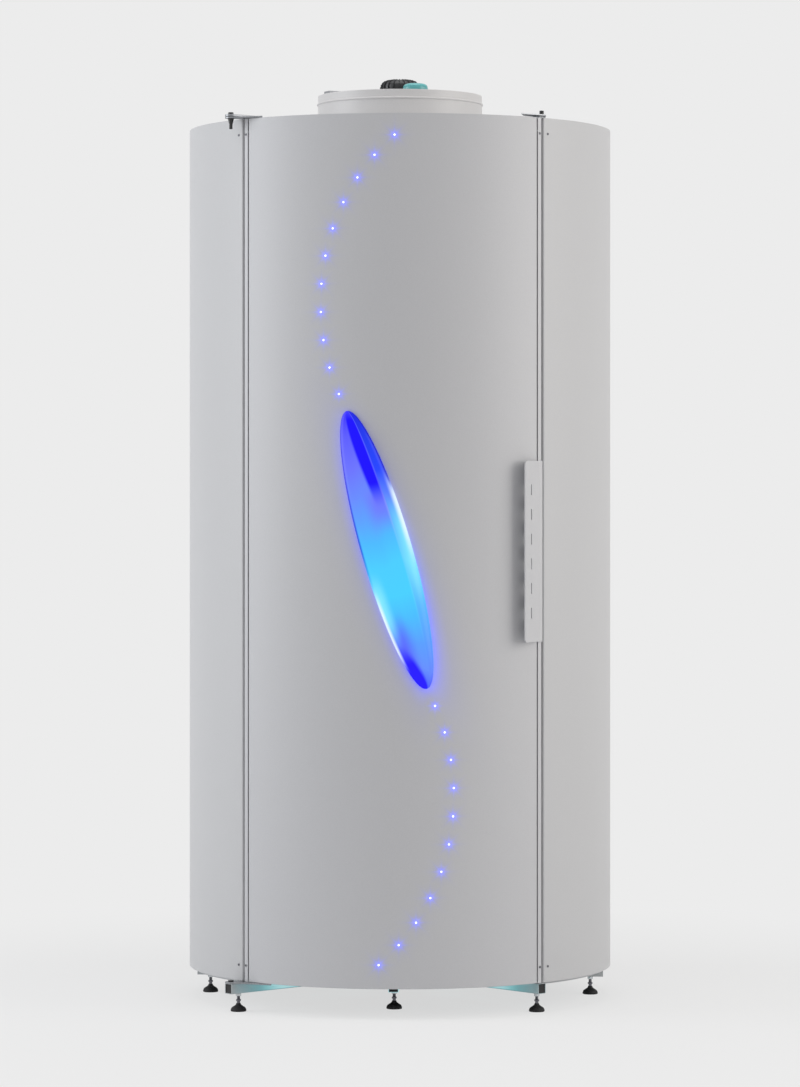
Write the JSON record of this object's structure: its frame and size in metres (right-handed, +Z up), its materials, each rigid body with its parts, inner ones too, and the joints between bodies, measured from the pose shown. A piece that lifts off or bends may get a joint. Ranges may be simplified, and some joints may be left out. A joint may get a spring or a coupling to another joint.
{
  "type": "tanning booth",
  "caption": "Stand-up tanning booth: a round cabin of upright lamps with a lit, curved door on a side hinge, a roof extractor fan and levelling feet.",
  "frame": {"origin": "on the floor, on the upright axis of the round cabin", "axes": "+Z up, -Y out through the middle of the door, +X to the right for someone facing the door"},
  "size_m": [1.05, 1.0939, 2.283],
  "materials": {
    "shell_paint": "satin powder coat, light silver grey",
    "strip_paint": "satin powder coat, paler grey",
    "frame_paint": "satin powder coat, light grey",
    "fan_paint": "satin paint, warm pale grey",
    "zinc_steel": "zinc plated sheet steel",
    "polished_steel": "polished stainless tube",
    "foot_plastic": "moulded black pad on a zinc plated screw",
    "screw_steel": "dark plated screw heads",
    "black_steel": "black coated steel",
    "black_plastic": "moulded, fine grain",
    "rubber": "matt",
    "deck_board": "laminated board",
    "reflector_aluminium": "bright rolled sheet",
    "lamp_glass": "coated inside, milky",
    "clear_acrylic": "clear, polished",
    "white_plastic": "moulded, satin gloss",
    "button_green": "moulded, glossy",
    "button_red": "moulded, glossy",
    "motor_black": "satin black enamel",
    "teal_plastic": "moulded, satin",
    "grey_steel": "bare grey enamel",
    "lens_blue": "glossy moulded lens, lit from behind",
    "led_blue": "small lit caps and their housings"
  },
  "bodies": {
    "base": {"base_frame": "frame_paint", "tube_end_caps": "black_plastic", "foot_lock_nuts": "zinc_steel", "base_ring": "frame_paint", "floor_deck": "deck_board", "floor_mat": "rubber", "corner_posts": "frame_paint", "door_seals": "rubber", "left_panel": "shell_paint", "right_panel": "shell_paint", "rear_panel": "shell_paint", "panel_screws": "screw_steel", "top_ring": "frame_paint", "top_frame": "frame_paint", "roof_plate": "frame_paint", "ceiling_grille": "fan_paint", "fan_collar": "fan_paint", "fan_bar": "zinc_steel", "fan_motor": "motor_black", "motor_terminal_box": "teal_plastic", "side_reflectors": "reflector_aluminium", "side_lamps": "lamp_glass", "side_lamp_caps": "reflector_aluminium", "side_lampholders": "white_plastic", "left_shield": "clear_acrylic", "right_shield": "clear_acrylic", "rear_shield": "clear_acrylic", "ballasts": "grey_steel", "terminal_box": "grey_steel", "cable_gland": "black_plastic", "control_pod": "white_plastic", "grab_rails": "polished_steel", "top_hinge_bracket": "zinc_steel", "hinge_pins": "black_steel", "door_keeper": "zinc_steel"},
    "door": {"door_skin": "shell_paint", "door_stiles": "strip_paint", "door_trays": "frame_paint", "door_reflector": "reflector_aluminium", "door_lamps": "lamp_glass", "door_lamp_caps": "reflector_aluminium", "door_lampholders": "white_plastic", "door_shield": "clear_acrylic", "door_hinge_arms": "zinc_steel", "door_handle": "strip_paint", "door_screws": "screw_steel", "lens": "lens_blue", "door_lights": "led_blue"},
    "fan": {"fan_impeller": "motor_black"},
    "start_button": {"start_button": "button_green"},
    "stop_button": {"stop_button": "button_red"},
    "fan_knob": {"fan_knob": "black_plastic"},
    "foot_front": {"foot_front": "foot_plastic"},
    "foot_front_right": {"foot_front_right": "foot_plastic"},
    "foot_right": {"foot_right": "foot_plastic"},
    "foot_rear_right": {"foot_rear_right": "foot_plastic"},
    "foot_rear": {"foot_rear": "foot_plastic"},
    "foot_rear_left": {"foot_rear_left": "foot_plastic"},
    "foot_left": {"foot_left": "foot_plastic"},
    "foot_front_left": {"foot_front_left": "foot_plastic"}
  },
  "joints": [
    {"name": "door_hinge", "type": "hinge", "parent": "base", "child": "door", "pos_m": [-0.38997, -0.38997, 0], "axis": [0, 0, -1], "range_deg": [0, 120]},
    {"name": "fan_spin", "type": "hinge", "parent": "base", "child": "fan", "pos_m": [0, 0, 2.182], "axis": [0, 0, 1], "continuous": true},
    {"name": "start_push", "type": "slide", "parent": "base", "child": "start_button", "axis": [0.7071, 0.7071, 0], "range_m": [0, 0.004], "stiffness_N_per_m": 400},
    {"name": "stop_push", "type": "slide", "parent": "base", "child": "stop_button", "axis": [0.7071, 0.7071, 0], "range_m": [0, 0.004], "stiffness_N_per_m": 400},
    {"name": "fan_speed", "type": "hinge", "parent": "base", "child": "fan_knob", "pos_m": [0.25, 0.25, 1.212], "axis": [0.7071, 0.7071, 0], "range_deg": [0, 270]},
    {"name": "level_front", "type": "slide", "parent": "base", "child": "foot_front", "axis": [0, 0, 1], "range_m": [-0.02, 0]},
    {"name": "level_front_right", "type": "slide", "parent": "base", "child": "foot_front_right", "axis": [0, 0, 1], "range_m": [-0.02, 0]},
    {"name": "level_right", "type": "slide", "parent": "base", "child": "foot_right", "axis": [0, 0, 1], "range_m": [-0.02, 0]},
    {"name": "level_rear_right", "type": "slide", "parent": "base", "child": "foot_rear_right", "axis": [0, 0, 1], "range_m": [-0.02, 0]},
    {"name": "level_rear", "type": "slide", "parent": "base", "child": "foot_rear", "axis": [0, 0, 1], "range_m": [-0.02, 0]},
    {"name": "level_rear_left", "type": "slide", "parent": "base", "child": "foot_rear_left", "axis": [0, 0, 1], "range_m": [-0.02, 0]},
    {"name": "level_left", "type": "slide", "parent": "base", "child": "foot_left", "axis": [0, 0, 1], "range_m": [-0.02, 0]},
    {"name": "level_front_left", "type": "slide", "parent": "base", "child": "foot_front_left", "axis": [0, 0, 1], "range_m": [-0.02, 0]}
  ]
}
